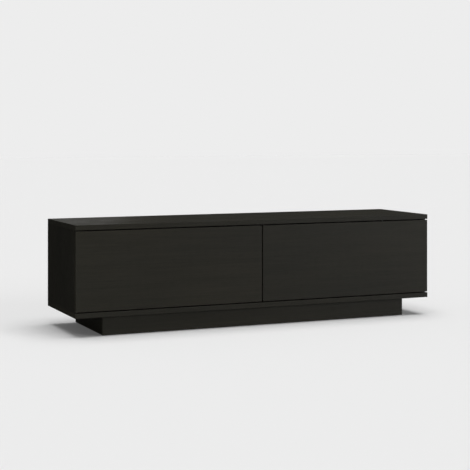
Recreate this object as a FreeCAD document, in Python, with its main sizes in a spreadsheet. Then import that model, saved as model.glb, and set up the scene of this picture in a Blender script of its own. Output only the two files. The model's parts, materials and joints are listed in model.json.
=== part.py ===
import FreeCAD, Part
import os
import re
import Sketcher
from FreeCAD import Placement, Rotation, Vector

# A low sideboard with two wide push-open drawers side by side, on a recessed plinth.
# Millimetres, +Z up. The drawers open towards -Y, and +X is to the right of someone facing them.
# The origin is on the floor, under the middle of the carcass.

SIZES = {
    # carcass
    "overall_width": 1510,
    "overall_depth": 384,
    "body_height": 343,
    "board": 19,
    "edge_round": 0.8,  # arris on every visible board edge
    "back_board": 8,
    "back_inset": 12,  # back panel's distance from the rear edges
    "groove_depth": 6,
    "groove_play": 0.2,
    # plinth and levelling feet
    "plinth_height": 70,
    "plinth_board": 19,
    "plinth_front_setback": 20,
    "plinth_back_setback": 10,
    "plinth_side_inset": 110,
    "foot_gap": 2,  # air under the plinth boards
    "block_width": 40,  # square corner blocks inside the plinth
    "foot_room": 14,  # from the plinth's lower edge to the blocks
    "foot_diameter": 34,
    "foot_thickness": 5,
    "foot_height": 9,
    "foot_hub_diameter": 15.8,
    "spindle_diameter": 7.9,
    "spindle_length": 46,
    "spindle_chamfer": 1,
    "socket_bore": 8,
    "socket_diameter": 12,
    "socket_length": 14,
    "socket_flange_diameter": 18,
    "socket_flange": 1.5,
    "spindle_room_diameter": 10,
    # knock-down fittings
    "cam_diameter": 15,
    "cam_play": 0.1,
    "cam_skin": 6,  # wood left behind the cam
    "cam_drop": 34,  # cam centre from the end of the upright
    "cam_setback": 50,  # cam centre from the upright's front and rear edges
    "cam_cross_bore": 7.4,
    "bolt_skin": 8,  # wood left beyond the bolt's thread
    "bolt_thread_diameter": 6,
    "bolt_shank_diameter": 5.6,
    "bolt_neck_diameter": 4.4,
    "bolt_head_diameter": 7,
    "bolt_head_reach": 1.4,  # bolt's head on each side of the cam's centre
    "bolt_taper": 1,
    "bolt_end_play": 0.4,
    "bolt_bore": 8,
    "dowel_diameter": 8,
    "dowel_length": 28,
    "dowel_skin": 6,
    "dowel_room": 0.5,  # bottom of the hole beyond the dowel's end
    "dowel_chamfer": 0.8,
    "dowel_step": 32,  # dowel from the cam beside it
    "plinth_dowel_drop": 18,
    # drawer fronts
    "front_board": 16,
    "press_gap": 3,  # between a closed front and the carcass behind it
    "reveal": 4,  # gap above, below and between the fronts
    "end_inset": 1,
    # drawer boxes
    "drawer_board": 15,
    "drawer_round": 1.5,
    "drawer_floor_gap": 16,
    "drawer_top_gap": 59,
    "drawer_rear_gap": 43,
    "drawer_base_board": 8,
    "drawer_base_lift": 10,
    "drawer_groove_depth": 7,
    "drawer_groove_play": 0.1,
    # ball slides
    "slide_thickness": 12.7,
    "slide_height": 45.4,
    "slide_rise": 70,  # slide's centre line above the drawer's lower edge
    "slide_setback": 2,  # behind the upright's front edge
    "gauge": 1.2,
    "cage_gauge": 0.6,
    "web_play": 0.4,
    "flange_margin": 2,
    "outer_row_reach": 6,
    "inner_row_reach": 8.4,
    "ball_diameter": 3.2,
    "ball_play": 0.2,
    "cage_play": 0.15,
    "raceway_sink": 0.4,
    "cage_length": 110,
    "rail_hole_inset": 35,
    "rail_hole_step": 32,
    "rail_hole_play": 0.4,
    "rail_access_play": 1,  # hole in a middle rail that the screw's head passes
    # push latches
    "latch_rise": 40,  # plunger's axis above the slide's centre line
    "latch_length": 60,
    "latch_plate": 2,
    "latch_plate_height": 28,
    "latch_barrel_height": 13,
    "latch_play": 1.2,  # between the latch and the drawer's side
    "latch_back_gap": 8,
    "latch_bore": 8,
    "latch_bore_depth": 50,
    "latch_screw_inset": 10,
    "latch_screw_offset": 10.5,
    "plunger_diameter": 7.6,
    "plunger_reach": 12,
    "plunger_guide": 8,
    "plunger_nose": 1,
    "stem_diameter": 3.6,
    "stem_length": 30,
    "spring_wire": 0.7,
    "spring_diameter": 5.8,  # to the middle of the wire
    "spring_turns": 10,
    "striker_gauge": 1.6,
    "striker_length": 30,
    "striker_height": 22,
    "striker_play": 2.7,
    "striker_touch": 0.2,
    "striker_screw_inset": 9,
    "striker_screw_step": 12,
    # screws
    "small_screw_head": 6.4,
    "small_screw_shank": 3.2,
    "small_screw_length": 13,
    "small_screw_sink": 1.6,
    "front_screw_head": 8,
    "front_screw_head_height": 2.6,
    "front_screw_crown": 4.8,  # flat top of its pan head
    "front_screw_rim": 0.9,
    "front_screw_shank": 4,
    "front_screw_length": 26,
    "front_screw_inset": 90,
    "front_screw_drop": 55,
    "box_screw_head": 9.6,
    "box_screw_sink": 2.4,
    "box_screw_shank": 5,
    "box_screw_length": 45,
    "box_screw_drop": 45,
    "block_screw_head": 9,
    "block_screw_sink": 2.6,
    "block_screw_shank": 5,
    "block_screw_bite": 12,  # in the bottom panel
    "block_screw_offset": 13,
    "recess_depth": 1.2,
    "recess_slot": 0.9,
    "small_screw_recess": 1.8,  # from the middle of the head to the end of the cross
    "front_screw_recess": 1.9,
    "box_screw_recess": 2.7,
    "block_screw_recess": 2.5,
    "cam_recess": 4.5,
}

# What follows from the sizes. A formula may use any size and any name in this table.
DERIVED = {
    "half_width": "overall_width / 2",
    "half_depth": "overall_depth / 2",
    "body_base": "foot_gap + plinth_height",
    "bay_floor": "body_base + board",
    "bay_height": "body_height - 2 * board",
    "bay_ceiling": "bay_floor + bay_height",
    "bay_width": "(overall_width - 3 * board) / 2",
    "front_back_face": "front_board - half_depth",
    "upright_front": "front_back_face + press_gap",
    "upright_depth": "half_depth - upright_front",
    "back_face": "half_depth - back_inset - back_board",
    "groove_start": "back_face - groove_play",
    "groove_width": "back_board + 2 * groove_play",
    "tongue": "groove_depth - groove_play",
    "cam_height": "board - cam_skin - cam_play",
    "bolt_thread": "board - bolt_skin",
    "dowel_in_face": "board - dowel_skin",
    "dowel_in_edge": "dowel_length - dowel_in_face",
    "front_cam": "upright_front + cam_setback",
    "rear_cam": "half_depth - cam_setback",
    "plinth_half": "half_width - plinth_side_inset",
    "plinth_front": "plinth_front_setback - half_depth",
    "plinth_back": "half_depth - plinth_back_setback",
    "plinth_rail": "plinth_back - plinth_front - 2 * plinth_board",
    "block_base": "foot_gap + foot_room",
    "block_height": "plinth_height - foot_room",
    "block_x": "plinth_half - plinth_board - block_width / 2",
    "front_block": "plinth_front + plinth_board + block_width / 2",
    "back_block": "plinth_back - plinth_board - block_width / 2",
    "front_width": "half_width - end_inset - reveal / 2",
    "front_height": "bay_height - 2 * reveal",
    "box_width": "bay_width - 2 * slide_thickness",
    "box_length": "back_face - drawer_rear_gap - front_back_face",
    "box_rear": "front_back_face + box_length",
    "box_base": "bay_floor + drawer_floor_gap",
    "box_height": "bay_height - drawer_floor_gap - drawer_top_gap",
    "box_inner_width": "box_width - 2 * drawer_board",
    "box_tongue": "drawer_groove_depth - drawer_groove_play",
    "slide_front": "upright_front + slide_setback",
    "slide_length": "box_rear - slide_front",
    "slide_axis": "box_base + slide_rise",
    "ball_radius": "ball_diameter / 2",
    "row_drop": "ball_radius + ball_play - raceway_sink",
    "outer_row": "slide_height / 2 - gauge - row_drop",
    "middle_half": "outer_row - row_drop",
    "inner_row": "middle_half - gauge - row_drop",
    "drawer_rail_half": "inner_row - row_drop",
    "outer_cage_back": "gauge + web_play",
    "middle_back": "outer_cage_back + cage_gauge + web_play",
    "inner_cage_back": "middle_back + gauge + web_play",
    "drawer_rail_tip": "inner_cage_back + cage_gauge + web_play",
    "cage_front": "slide_front + (slide_length - cage_length) / 2",
    "latch_front": "back_face - latch_back_gap - latch_length",
    "latch_axis": "slide_axis + latch_rise",
    "latch_width": "slide_thickness - latch_play",
    "plunger_tip": "latch_front - plunger_reach",
    "spring_length": "latch_bore_depth - plunger_guide - spring_wire",
    "striker_back": "plunger_tip - striker_touch",
    "block_screw_length": "block_height + block_screw_bite",
}

BAYS = {"left": "-half_width + board", "right": "board / 2"}
BALLS_IN_A_ROW = 6
SAME = 0.01  # two places this near are one place
MOST_PARTS = 60

# A copy's own +Z, turned to point each way.
WAYS = {
    "+x": Rotation(Vector(0, 1, 0), 90),
    "-x": Rotation(Vector(0, 1, 0), -90),
    "+y": Rotation(Vector(1, 0, 0), -90),
    "-y": Rotation(Vector(1, 0, 0), 90),
    "+z": Rotation(),
    "-z": Rotation(Vector(1, 0, 0), 180),
    "half turn": Rotation(Vector(0, 1, 0), 180),
}

doc = FreeCAD.newDocument("sideboard")
sheet = doc.addObject("Spreadsheet::Sheet", "Sizes")
for row, (alias, number) in enumerate(SIZES.items(), 1):
    sheet.set(f"A{row}", alias)
    sheet.set(f"B{row}", str(number))
    sheet.setAlias(f"B{row}", alias)
doc.recompute()


def full(formula):
    """The formula as the document reads it: derived names spelled out, sizes by their cells."""

    def spell(match):
        name = match.group(0)
        if name in DERIVED:
            return f"({full(DERIVED[name])})"
        return f"Sizes.{name}" if name in SIZES else name

    return re.sub(r"[a-z_]+", spell, str(formula))


def bind(thing, prop, formula):
    thing.setExpression(prop, full(formula))


def value(formula):
    return float(sheet.evalExpression(full(formula)))


def place(thing, x, y, z):
    for axis, formula in zip("xyz", (x, y, z)):
        bind(thing, f"Placement.Base.{axis}", formula)


# ---- sketches and features ----


def new_body(name, x=0, y=0, z=0):
    body = doc.addObject("PartDesign::Body", name)
    body.Label = name
    place(body, x, y, z)
    return body


def new_sketch(body, plane, offset=0):
    sketch = body.newObject("Sketcher::SketchObject", "sketch")
    support = next(f for f in body.Origin.OriginFeatures if f.Role == plane)
    sketch.AttachmentSupport = [(support, "")]
    sketch.MapMode = "FlatFace"
    bind(sketch, "AttachmentOffset.Base.z", offset)
    return sketch


def fix_point(sketch, element, vertex, u, v):
    for kind, formula in (("DistanceX", u), ("DistanceY", v)):
        rule = Sketcher.Constraint(kind, -1, 1, element, vertex, value(formula))
        index = sketch.addConstraint(rule)
        bind(sketch, f"Constraints[{index}]", formula)


def outline(sketch, points):
    """A closed polygon through the points, each held by its two distances from the origin."""
    spots = [Vector(value(u), value(v), 0) for u, v in points]
    first = len(sketch.Geometry)
    count = len(points)
    for k in range(count):
        sketch.addGeometry(Part.LineSegment(spots[k], spots[(k + 1) % count]), False)
    for k in range(count):
        joined = Sketcher.Constraint("Coincident", first + k, 2, first + (k + 1) % count, 1)
        sketch.addConstraint(joined)
    for k, (u, v) in enumerate(points):
        fix_point(sketch, first + k, 1, u, v)


def circle(sketch, u, v, diameter):
    centre = Vector(value(u), value(v), 0)
    ring = Part.Circle(centre, Vector(0, 0, 1), value(diameter) / 2)
    index = sketch.addGeometry(ring, False)
    fix_point(sketch, index, 3, u, v)
    rule = sketch.addConstraint(Sketcher.Constraint("Diameter", index, value(diameter)))
    bind(sketch, f"Constraints[{rule}]", diameter)


def rectangle(sketch, low_u, low_v, high_u, high_v):
    outline(sketch, [(low_u, low_v), (high_u, low_v), (high_u, high_v), (low_u, high_v)])


def pad(body, sketch, length, with_normal=True):
    feature = body.newObject("PartDesign::Pad", "pad")
    feature.Profile = sketch
    bind(feature, "Length", length)
    feature.Reversed = not with_normal
    doc.recompute()
    return feature


def pocket(body, sketch, depth, with_normal=False):
    """Cuts the sketch into the body and makes sure that something was cut."""
    before = body.Shape.Volume
    feature = body.newObject("PartDesign::Pocket", "pocket")
    feature.Profile = sketch
    bind(feature, "Length", depth)
    feature.Reversed = with_normal
    doc.recompute()
    if not body.Shape.Volume < before:
        raise RuntimeError(f"a pocket in {body.Label} cuts nothing")
    return feature


def round_edges(body, radius, wanted=None):
    """Rounds the body's edges, or only those whose middle point passes the test."""
    edges = body.Shape.Edges
    base = body.Tip
    names = []
    for k, edge in enumerate(edges, 1):
        middle = body.Placement.inverse().multVec(edge.BoundBox.Center)
        if wanted is None or wanted(middle):
            names.append(f"Edge{k}")
    feature = body.newObject("PartDesign::Fillet", "rounding")
    feature.Base = (base, names)
    bind(feature, "Radius", radius)
    doc.recompute()


def plank(name, x, y, z, size_x, size_y, size_z):
    body = new_body(name, x, y, z)
    sketch = new_sketch(body, "XY_Plane")
    rectangle(sketch, 0, 0, size_x, size_y)
    pad(body, sketch, size_z)
    return body


def turned(name, profile):
    """A round piece: the profile's points are (radius, height), turned about its own Z."""
    body = new_body(name)
    sketch = new_sketch(body, "XZ_Plane")
    outline(sketch, profile)
    feature = body.newObject("PartDesign::Revolution", "turning")
    feature.Profile = sketch
    feature.ReferenceAxis = (sketch, ["V_Axis"])
    feature.Angle = 360
    doc.recompute()
    return body


def cross_recess(body, top, arm):
    """A driver's cross, sunk into a head whose top is at this height."""
    far, near = f"({arm})", "(recess_slot / 2)"
    corners = [
        (far, f"-{near}"), (far, near), (near, near), (near, far), (f"-{near}", far), (f"-{near}", near),
        (f"-{far}", near), (f"-{far}", f"-{near}"), (f"-{near}", f"-{near}"), (f"-{near}", f"-{far}"),
        (near, f"-{far}"), (near, f"-{near}"),
    ]
    sketch = new_sketch(body, "XY_Plane", top)
    outline(sketch, corners)
    pocket(body, sketch, "recess_depth", with_normal=True)


# ---- copies, and boards drilled for what goes into them ----


def copies(name, master, spots):
    """One group of copies of the master. A spot is x, y, z and the way that the copy's Z points."""
    links = []
    for number, (x, y, z, way) in enumerate(spots, 1):
        link = doc.addObject("App::Link", f"{name}_{number}")
        link.LinkedObject = master
        link.Placement = Placement(Vector(), WAYS[way])
        place(link, x, y, z)
        links.append(link)
    return together(name, links)


def together(name, pieces):
    group = doc.addObject("Part::Compound", name)
    group.Label = name
    group.Links = pieces
    return group


def drilled(name, blank, bores):
    blank.Label = f"{name}_blank"
    part = doc.addObject("Part::Cut", name)
    part.Label = name
    part.Base = blank
    part.Tool = bores
    subparts.append(part)
    return part


def finished(part):
    subparts.append(part)
    return part


subparts = []

# ---- hardware masters, each made once about its own origin ----


def countersunk_profile(head, sink, shank, length):
    """A wood screw with its head's top at 0, pointing to +Z."""
    return [
        (0, 0),
        (f"{head} / 2", 0),
        (f"{shank} / 2", sink),
        (f"{shank} / 2", f"{length} - {shank}"),
        (0, length),
    ]


def countersunk_screw(name):
    """The screw whose sizes carry this name, and the hole that it makes."""
    sizes = (f"{name}_{part}" for part in ("head", "sink", "shank", "length"))
    profile = countersunk_profile(*sizes)
    screw = turned(name, profile)
    cross_recess(screw, 0, f"{name}_recess")
    return screw, turned(f"{name}_hole", profile)


small_screw, small_screw_hole = countersunk_screw("small_screw")
box_screw, box_screw_hole = countersunk_screw("box_screw")
block_screw, block_screw_hole = countersunk_screw("block_screw")

FRONT_SCREW_SHANK = [
    (0, 0),
    ("front_screw_shank / 2", 0),
    ("front_screw_shank / 2", "front_screw_length - front_screw_shank"),
    (0, "front_screw_length"),
]
front_screw_hole = turned("front_screw_hole", FRONT_SCREW_SHANK)
front_screw = turned(
    "front_screw",
    [
        (0, "-front_screw_head_height"),
        ("front_screw_crown / 2", "-front_screw_head_height"),
        ("front_screw_head / 2", "-front_screw_rim"),
        ("front_screw_head / 2", 0),
    ]
    + FRONT_SCREW_SHANK[1:],
)
cross_recess(front_screw, "-front_screw_head_height", "front_screw_recess")

dowel = turned(
    "dowel",
    [
        (0, "-dowel_in_face"),
        ("dowel_diameter / 2 - dowel_chamfer", "-dowel_in_face"),
        ("dowel_diameter / 2", "-dowel_in_face + dowel_chamfer"),
        ("dowel_diameter / 2", "dowel_in_edge - dowel_chamfer"),
        ("dowel_diameter / 2 - dowel_chamfer", "dowel_in_edge"),
        (0, "dowel_in_edge"),
    ],
)
dowel_hole = turned(
    "dowel_hole",
    [
        (0, "-dowel_in_face - dowel_room"),
        ("dowel_diameter / 2", "-dowel_in_face - dowel_room"),
        ("dowel_diameter / 2", "dowel_in_edge + dowel_room"),
        (0, "dowel_in_edge + dowel_room"),
    ],
)

# A bolt stands in the panel below it, up to 0, and reaches up to the cam in the upright.
cam_bolt = turned(
    "cam_bolt",
    [
        (0, "-bolt_thread"),
        ("bolt_thread_diameter / 2", "-bolt_thread"),
        ("bolt_thread_diameter / 2", 0),
        ("bolt_shank_diameter / 2", 0),
        ("bolt_shank_diameter / 2", "cam_drop - cam_diameter / 2 - bolt_taper"),
        ("bolt_neck_diameter / 2", "cam_drop - cam_diameter / 2"),
        ("bolt_neck_diameter / 2", "cam_drop - bolt_head_reach"),
        ("bolt_head_diameter / 2", "cam_drop - bolt_head_reach"),
        ("bolt_head_diameter / 2", "cam_drop + bolt_head_reach"),
        (0, "cam_drop + bolt_head_reach"),
    ],
)
cam_bolt_hole = turned(
    "cam_bolt_hole",
    [
        (0, "-bolt_thread"),
        ("bolt_thread_diameter / 2", "-bolt_thread"),
        ("bolt_thread_diameter / 2", 0),
        ("bolt_bore / 2", 0),
        ("bolt_bore / 2", "cam_drop + bolt_head_reach + bolt_end_play"),
        (0, "cam_drop + bolt_head_reach + bolt_end_play"),
    ],
)


def make_cam():
    """A cam's face is at 0 and it goes into the upright along +Z; the bolt passes through along X."""
    cam = turned(
        "cam",
        [
            (0, 0),
            ("cam_diameter / 2 - cam_play", 0),
            ("cam_diameter / 2 - cam_play", "cam_height"),
            (0, "cam_height"),
        ],
    )
    side = new_sketch(cam, "YZ_Plane", "-cam_diameter / 2")
    circle(side, 0, "board / 2", "cam_cross_bore")
    pocket(cam, side, "cam_diameter", with_normal=True)
    cross_recess(cam, 0, "cam_recess")
    return cam


cam = make_cam()
cam_hole = turned(
    "cam_hole",
    [
        (0, 0),
        ("cam_diameter / 2", 0),
        ("cam_diameter / 2", "board - cam_skin"),
        (0, "board - cam_skin"),
    ],
)

# Levelling foot: its sole is at 0. The socket's flange lies under the block, whose face is at 0.
foot = turned(
    "foot",
    [
        (0, 0),
        ("foot_diameter / 2", 0),
        ("foot_diameter / 2", "foot_thickness"),
        ("foot_hub_diameter / 2", "foot_height"),
        ("spindle_diameter / 2", "foot_height"),
        ("spindle_diameter / 2", "spindle_length - spindle_chamfer"),
        ("spindle_diameter / 2 - spindle_chamfer", "spindle_length"),
        (0, "spindle_length"),
    ],
)
socket = turned(
    "socket",
    [
        ("socket_bore / 2", "-socket_flange"),
        ("socket_flange_diameter / 2", "-socket_flange"),
        ("socket_flange_diameter / 2", 0),
        ("socket_diameter / 2", 0),
        ("socket_diameter / 2", "socket_length"),
        ("socket_bore / 2", "socket_length"),
    ],
)
socket_hole = turned(
    "socket_hole",
    [
        (0, 0),
        ("socket_diameter / 2", 0),
        ("socket_diameter / 2", "socket_length"),
        ("spindle_room_diameter / 2", "socket_length"),
        ("spindle_room_diameter / 2", "spindle_length - foot_room"),
        (0, "spindle_length - foot_room"),
    ],
)

# ---- ball slides: across from the upright along +X, back along +Y, centred on Z ----


def channel(name, back, face, tip, half_height, thickness, length):
    """A C-shaped section: a web from back to face, and two flanges that reach to the tip."""
    body = new_body(name)
    sketch = new_sketch(body, "XZ_Plane")
    inside = f"({half_height} - {thickness})"
    outline(
        sketch,
        [
            (back, f"-{half_height}"),
            (tip, f"-{half_height}"),
            (tip, f"-{inside}"),
            (face, f"-{inside}"),
            (face, inside),
            (tip, inside),
            (tip, half_height),
            (back, half_height),
        ],
    )
    pad(body, sketch, length, with_normal=False)
    return body


def raceway(body, reach, height):
    """Two grooves along the flanges, for the upper and the lower row of balls."""
    sketch = new_sketch(body, "XZ_Plane")
    for sign in ("", "-"):
        circle(sketch, reach, f"{sign}{height}", "ball_diameter + 2 * ball_play")
    pocket(body, sketch, "slide_length")


def make_rails():
    outer = channel(
        "outer_rail",
        0,
        "gauge",
        "outer_row_reach + flange_margin",
        "slide_height / 2",
        "gauge",
        "slide_length",
    )
    raceway(outer, "outer_row_reach", "outer_row")
    spare = new_sketch(outer, "YZ_Plane")
    for station in OUTER_STATIONS["left"] + OUTER_STATIONS["right"]:
        circle(spare, station, 0, "small_screw_shank + rail_hole_play")
    pocket(outer, spare, "gauge", with_normal=True)

    middle = channel(
        "middle_rail",
        "middle_back",
        "middle_back + gauge",
        "inner_row_reach + flange_margin",
        "middle_half",
        "gauge",
        "slide_length",
    )
    raceway(middle, "outer_row_reach", "outer_row")
    raceway(middle, "inner_row_reach", "inner_row")
    access = new_sketch(middle, "YZ_Plane", "middle_back")
    for station in OUTER_STATIONS["left"] + OUTER_STATIONS["right"]:
        circle(access, station, 0, "small_screw_head + rail_access_play")
    pocket(middle, access, "gauge", with_normal=True)

    drawer_rail = channel(
        "drawer_rail",
        "slide_thickness",
        "slide_thickness - gauge",
        "drawer_rail_tip",
        "drawer_rail_half",
        "gauge",
        "slide_length",
    )
    raceway(drawer_rail, "inner_row_reach", "inner_row")
    return outer, middle, drawer_rail


def make_cage(name, back, reach, row):
    """A ball cage with its two rows of balls, as one group."""
    half = f"({row} + cage_gauge / 2)"
    tip = f"{reach} + ball_radius"
    cage = channel(name, back, f"{back} + cage_gauge", tip, half, "cage_gauge", "cage_length")
    pitch = f"cage_length / {BALLS_IN_A_ROW}"
    holes = new_sketch(cage, "XY_Plane", f"-{half}")
    balls = []
    for k in range(BALLS_IN_A_ROW):
        station = f"({k} + 0.5) * {pitch}"
        circle(holes, reach, station, "ball_diameter + 2 * cage_play")
        for sign in ("", "-"):
            ball = doc.addObject("Part::Sphere", f"{name}_ball")
            bind(ball, "Radius", "ball_radius")
            place(ball, reach, station, f"{sign}{row}")
            balls.append(ball)
    pocket(cage, holes, f"2 * {half}", with_normal=True)
    return together(f"{name}_with_balls", [cage] + balls)


# Screws on the two faces of the divider must miss each other, so each hand of slide has its own stations.
OUTER_STATIONS = {
    "left": ["rail_hole_inset", "slide_length / 2", "slide_length - rail_hole_inset"],
    "right": [
        "rail_hole_inset + rail_hole_step",
        "slide_length / 2 + rail_hole_step",
        "slide_length - rail_hole_inset - rail_hole_step",
    ],
}
outer_rail, middle_rail, drawer_rail = make_rails()
outer_cage = make_cage("outer_cage", "outer_cage_back", "outer_row_reach", "outer_row")
inner_cage = make_cage("inner_cage", "inner_cage_back", "inner_row_reach", "inner_row")

# ---- push latches: same directions as the slides, centred on the plunger's height ----


def make_latch_housing():
    body = new_body("latch_housing_master")
    plate = new_sketch(body, "YZ_Plane")
    rectangle(plate, 0, "-latch_plate_height / 2", "latch_length", "latch_plate_height / 2")
    pad(body, plate, "latch_plate")
    barrel = new_sketch(body, "YZ_Plane")
    rectangle(barrel, 0, "-latch_barrel_height / 2", "latch_length", "latch_barrel_height / 2")
    pad(body, barrel, "latch_width")
    bore = new_sketch(body, "XZ_Plane")
    circle(bore, "latch_width / 2", 0, "latch_bore")
    pocket(body, bore, "latch_bore_depth")
    return body


def make_striker():
    """An angle on the drawer's side; its tab stands in front of the plunger, its back at 0 on Y."""
    body = new_body("striker_master")
    section = new_sketch(body, "XY_Plane", "-striker_height / 2")
    outline(
        section,
        [
            ("slide_thickness", "-striker_length"),
            ("slide_thickness", 0),
            ("striker_play", 0),
            ("striker_play", "-striker_gauge"),
            ("slide_thickness - striker_gauge", "-striker_gauge"),
            ("slide_thickness - striker_gauge", "-striker_length"),
        ],
    )
    pad(body, section, "striker_height")
    return body


def make_spring():
    helix = doc.addObject("Part::Helix", "spring_line")
    bind(helix, "Height", "spring_length")
    bind(helix, "Pitch", "spring_length / spring_turns")
    bind(helix, "Radius", "spring_diameter / 2")
    wire = doc.addObject("Part::Circle", "spring_section")
    bind(wire, "Radius", "spring_wire / 2")
    wire.Placement = Placement(Vector(), Rotation(Vector(1, 0, 0), 90))
    bind(wire, "Placement.Base.x", "spring_diameter / 2")
    spring = doc.addObject("Part::Sweep", "spring")
    spring.Sections = [wire]
    spring.Spine = helix
    spring.Solid = True
    spring.Frenet = True
    doc.recompute()
    return spring


latch_housing = make_latch_housing()
striker = make_striker()
spring = make_spring()
# The plunger's guide starts at 0, inside the bore, and its nose reaches out to minus Z.
plunger = turned(
    "plunger",
    [
        (0, "-plunger_reach"),
        ("plunger_diameter / 2 - plunger_nose", "-plunger_reach"),
        ("plunger_diameter / 2", "-plunger_reach + plunger_nose"),
        ("plunger_diameter / 2", "plunger_guide"),
        ("stem_diameter / 2", "plunger_guide"),
        ("stem_diameter / 2", "plunger_guide + stem_length"),
        (0, "plunger_guide + stem_length"),
    ],
)


def in_bay(side, hand, y, z):
    """Where a slide or latch of this hand stands: against the left or the right of its bay."""
    start = BAYS[side]
    if hand == "left":
        return (start, y, z, "+z")
    return (f"{start} + bay_width", y, z, "half turn")


# ---- where the fasteners go ----


def at_upright_ends(y_front, y_rear):
    """Spots at the four joints' corners of each upright: on its end planes, pointing into it."""
    spots = []
    for x in ("-half_width + board / 2", "0", "half_width - board / 2"):
        for y in (y_front, y_rear):
            spots.append((x, y, "bay_floor", "+z"))
            spots.append((x, y, "bay_ceiling", "-z"))
    return spots


def cam_spots():
    spots = []
    faces = (("-half_width + board", "-x"), ("board / 2", "-x"), ("half_width - board", "+x"))
    for x, way in faces:
        for y in ("front_cam", "rear_cam"):
            spots.append((x, y, "bay_floor + cam_drop", way))
            spots.append((x, y, "bay_ceiling - cam_drop", way))
    return spots


def plinth_dowel_spots():
    spots = []
    rail = "plinth_half - plinth_board / 2"
    for x in (f"-({rail})", "0", rail):
        for z in ("foot_gap + plinth_dowel_drop", "body_base - plinth_dowel_drop"):
            spots.append((x, "plinth_front + plinth_board", z, "+y"))
            spots.append((x, "plinth_back - plinth_board", z, "-y"))
    return spots


def block_spots():
    corners = (("-block_x", "front_block"), ("block_x", "front_block"))
    corners += (("-block_x", "back_block"), ("block_x", "back_block"))
    return corners


def block_screw_spots():
    spots = []
    for x, y in block_spots():
        for sign in ("+", "-"):
            offset = f"{sign} block_screw_offset"
            spots.append((f"{x} {offset}", f"{y} {offset}", "block_base", "+z"))
    return spots


def cabinet_screw_spots():
    """Small screws that hold the outer rails and the latch housings to the uprights."""
    spots = []
    for start in BAYS.values():
        for hand, way, face in (("left", "-x", start), ("right", "+x", f"{start} + bay_width")):
            inwards, flip = ("+", "+") if hand == "left" else ("-", "-")
            for station in OUTER_STATIONS[hand]:
                spots.append((f"{face} {inwards} gauge", f"slide_front + {station}", "slide_axis", way))
            plate = f"{face} {inwards} latch_plate"
            low = f"latch_axis - ({flip} latch_screw_offset)"
            high = f"latch_axis + ({flip} latch_screw_offset)"
            spots.append((plate, "latch_front + latch_screw_inset", high, way))
            spots.append((plate, "latch_front + latch_length - latch_screw_inset", low, way))
    return spots


def drawer_screw_spots(side):
    """Small screws that hold the drawer rails and the strikers to the drawer's sides."""
    spots = []
    start = BAYS[side]
    left, right = f"{start} + slide_thickness", f"{start} + bay_width - slide_thickness"
    for face, way, outwards in ((left, "+x", "-"), (right, "-x", "+")):
        for station in OUTER_STATIONS["left"]:
            spots.append((f"{face} {outwards} gauge", f"slide_front + {station}", "slide_axis", way))
        for step in ("striker_screw_inset", "striker_screw_inset + striker_screw_step"):
            y = f"striker_back - ({step})"
            spots.append((f"{face} {outwards} striker_gauge", y, "latch_axis", way))
    return spots


def box_screw_spots(side):
    spots = []
    start = BAYS[side]
    left, right = f"{start} + slide_thickness", f"{start} + bay_width - slide_thickness"
    for x, way in ((left, "+x"), (right, "-x")):
        for y in ("front_back_face + drawer_board / 2", "box_rear - drawer_board / 2"):
            for z in ("box_base + box_screw_drop", "box_base + box_height - box_screw_drop"):
                spots.append((x, y, z, way))
    return spots


def front_screw_spots(side):
    spots = []
    left = f"{BAYS[side]} + slide_thickness"
    y = "front_back_face + drawer_board"
    for x in (f"{left} + front_screw_inset", f"{left} + box_width - front_screw_inset"):
        for z in ("box_base + front_screw_drop", "box_base + box_height - front_screw_drop"):
            spots.append((x, y, z, "-y"))
    return spots


# ---- carcass ----

upright_spots = at_upright_ends("front_cam + dowel_step", "rear_cam - dowel_step")
bolt_spots = at_upright_ends("front_cam", "rear_cam")
foot_centres = [(x, y, "block_base", "+z") for x, y in block_spots()]
dowel_spots = upright_spots + plinth_dowel_spots()

finished(copies("cam_housings", cam, cam_spots()))
finished(copies("cam_bolts", cam_bolt, bolt_spots))
finished(copies("dowels", dowel, dowel_spots))
finished(copies("slide_and_latch_screws", small_screw, cabinet_screw_spots()))
finished(copies("plinth_screws", block_screw, block_screw_spots()))
finished(copies("foot_sockets", socket, foot_centres))

carcass_bores = together(
    "carcass_bores",
    [
        copies("cam_holes", cam_hole, cam_spots()),
        copies("cam_bolt_holes", cam_bolt_hole, bolt_spots),
        copies("dowel_holes", dowel_hole, dowel_spots),
        copies("cabinet_screw_holes", small_screw_hole, cabinet_screw_spots()),
        copies("plinth_screw_holes", block_screw_hole, block_screw_spots()),
        copies("socket_holes", socket_hole, foot_centres),
    ],
)


def wide_panel(name, z, groove_face):
    """The top or the bottom panel, with a stopped groove for the backs in its inner face."""
    blank = plank(name, "-half_width", "-half_depth", z, "overall_width", "overall_depth", "board")
    round_edges(blank, "edge_round")
    into_top_face = groove_face == "upper"
    sketch = new_sketch(blank, "XY_Plane", "board" if into_top_face else 0)
    near, far = "board - groove_depth", "overall_width - board + groove_depth"
    start = "groove_start + half_depth"
    rectangle(sketch, near, start, far, f"{start} + groove_width")
    pocket(blank, sketch, "groove_depth", with_normal=not into_top_face)
    return drilled(name, blank, carcass_bores)


def upright(name, x, grooved_faces):
    """A side or the divider, with a groove for the backs in each face named."""
    blank = plank(name, x, "upright_front", "bay_floor", "board", "upright_depth", "bay_height")
    height = value("bay_height")
    round_edges(blank, "edge_round", lambda middle: middle.y < SAME and SAME < middle.z < height - SAME)
    for face in grooved_faces:
        sketch = new_sketch(blank, "YZ_Plane", "board" if face == "right" else 0)
        start = "groove_start - upright_front"
        rectangle(sketch, start, 0, f"{start} + groove_width", "bay_height")
        pocket(blank, sketch, "groove_depth", with_normal=face == "left")
    return drilled(name, blank, carcass_bores)


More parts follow.
